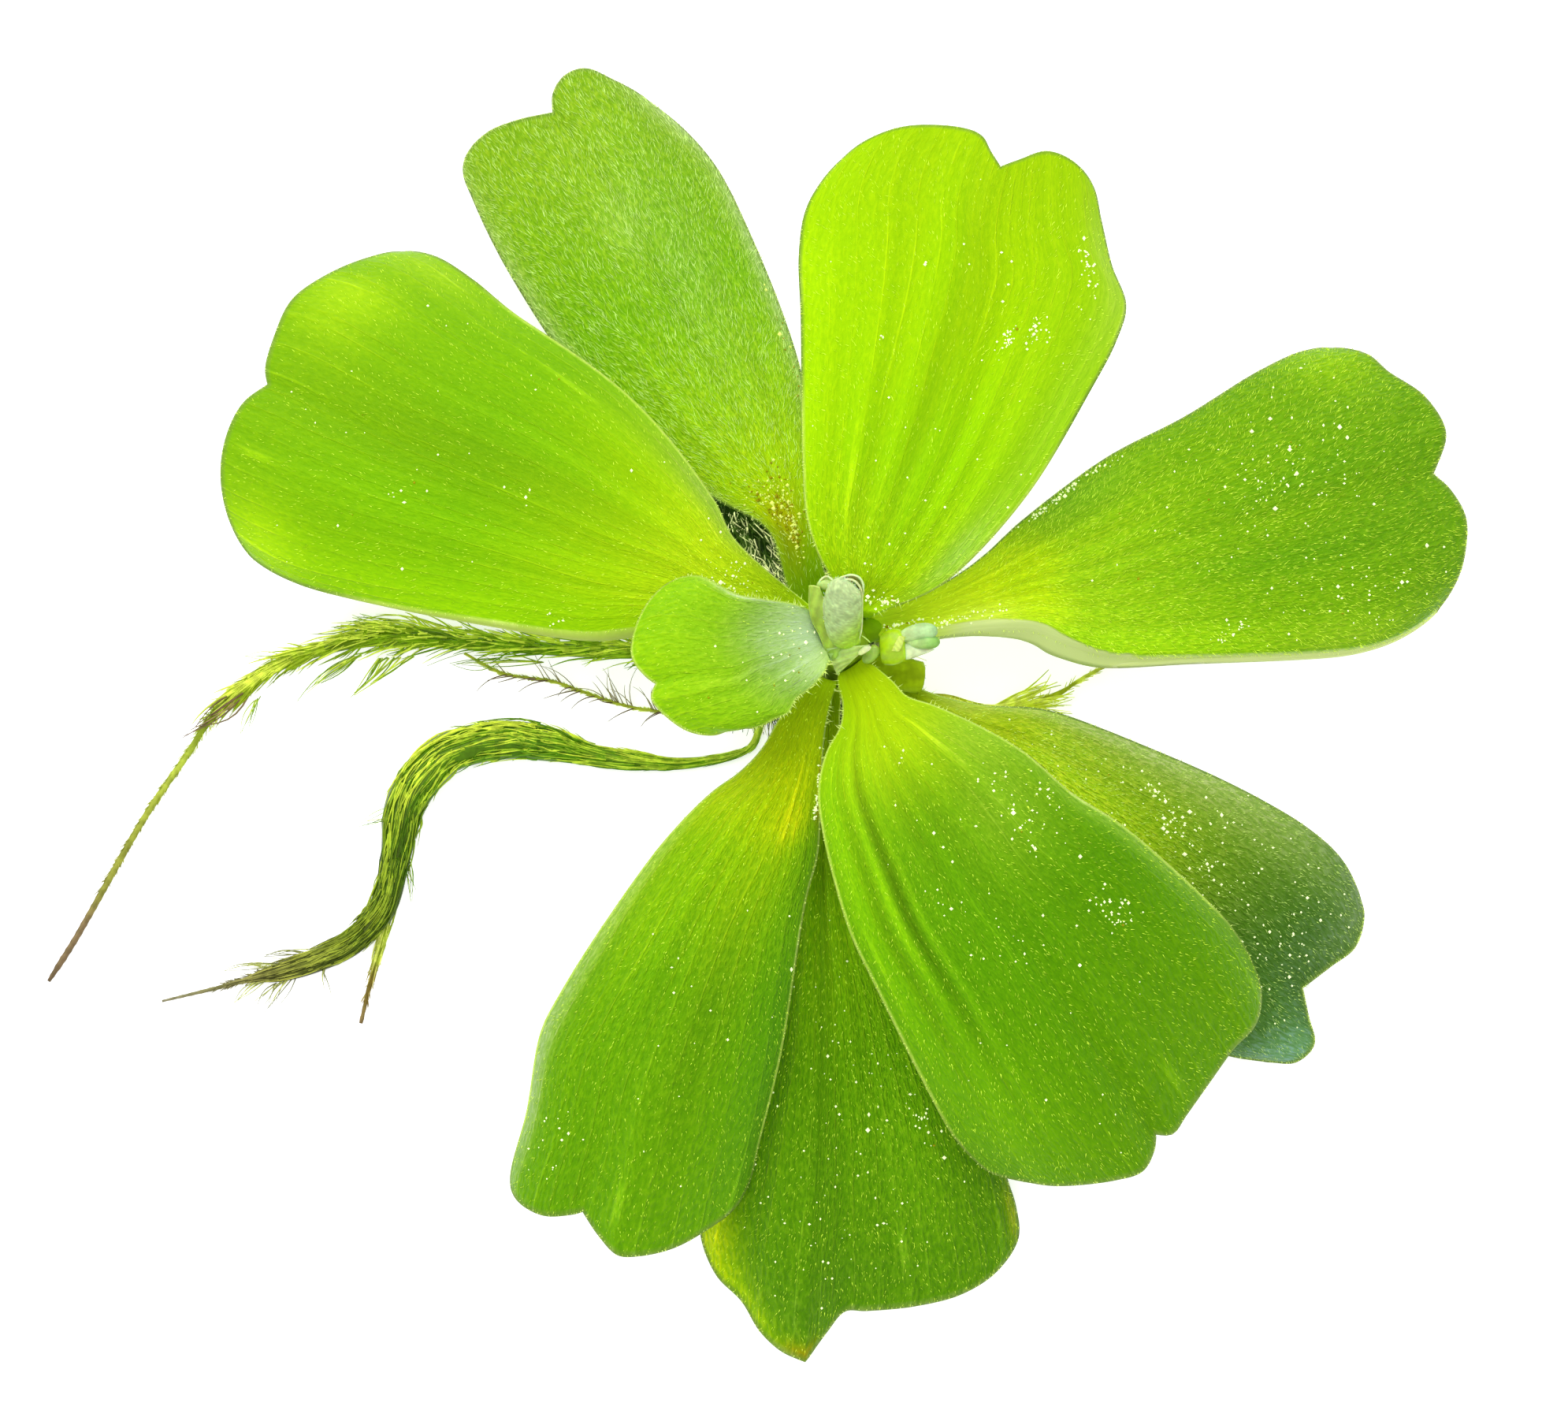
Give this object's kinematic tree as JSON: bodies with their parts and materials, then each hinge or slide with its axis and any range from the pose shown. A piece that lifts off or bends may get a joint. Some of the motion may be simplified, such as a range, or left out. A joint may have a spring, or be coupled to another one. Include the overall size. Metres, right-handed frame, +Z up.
{
  "type": "water lettuce plant",
  "caption": "Floating rosette plant as picked: broad notched velvety leaves round a short crown, with long feathery roots trailing to one side.",
  "frame": {"origin": "on the surface the plant lies on, straight below the crown, on the flat underside of the root mat", "axes": "+Z up out of the rosette; +X to the side bud and the short root; +Y to the highest leaf; the long roots trail to -X"},
  "size_m": [0.1133, 0.1051, 0.024],
  "materials": {
    "leaf": "soft velvety leaf, satin",
    "leaf_yellow": "soft velvety leaf, satin",
    "leaf_dark": "soft velvety leaf, satin",
    "leaf_pale": "downy, pale",
    "crown": "fleshy, satin",
    "root": "fine wet fibres",
    "root_brown": "fine wet fibres",
    "root_dark": "fine wet fibres"
  },
  "bodies": {
    "root": {"crown": "crown", "leaf_upper_left": "leaf", "leaf_left": "leaf_yellow", "leaf_upper_right": "leaf_yellow", "leaf_right": "leaf", "leaf_lower_right_back": "leaf_dark", "leaf_lower_right_front": "leaf", "leaf_bottom": "leaf_dark", "leaf_lower_left": "leaf", "young_leaf": "leaf_yellow", "furled_leaf": "leaf_pale", "leaf_sheath": "leaf_pale", "side_bud": "leaf_pale", "root_upper": "root", "root_lower": "root", "root_lower_fork": "root", "root_right": "root", "root_brown": "root_brown", "root_tangle": "root_dark"}
  },
  "joints": []
}
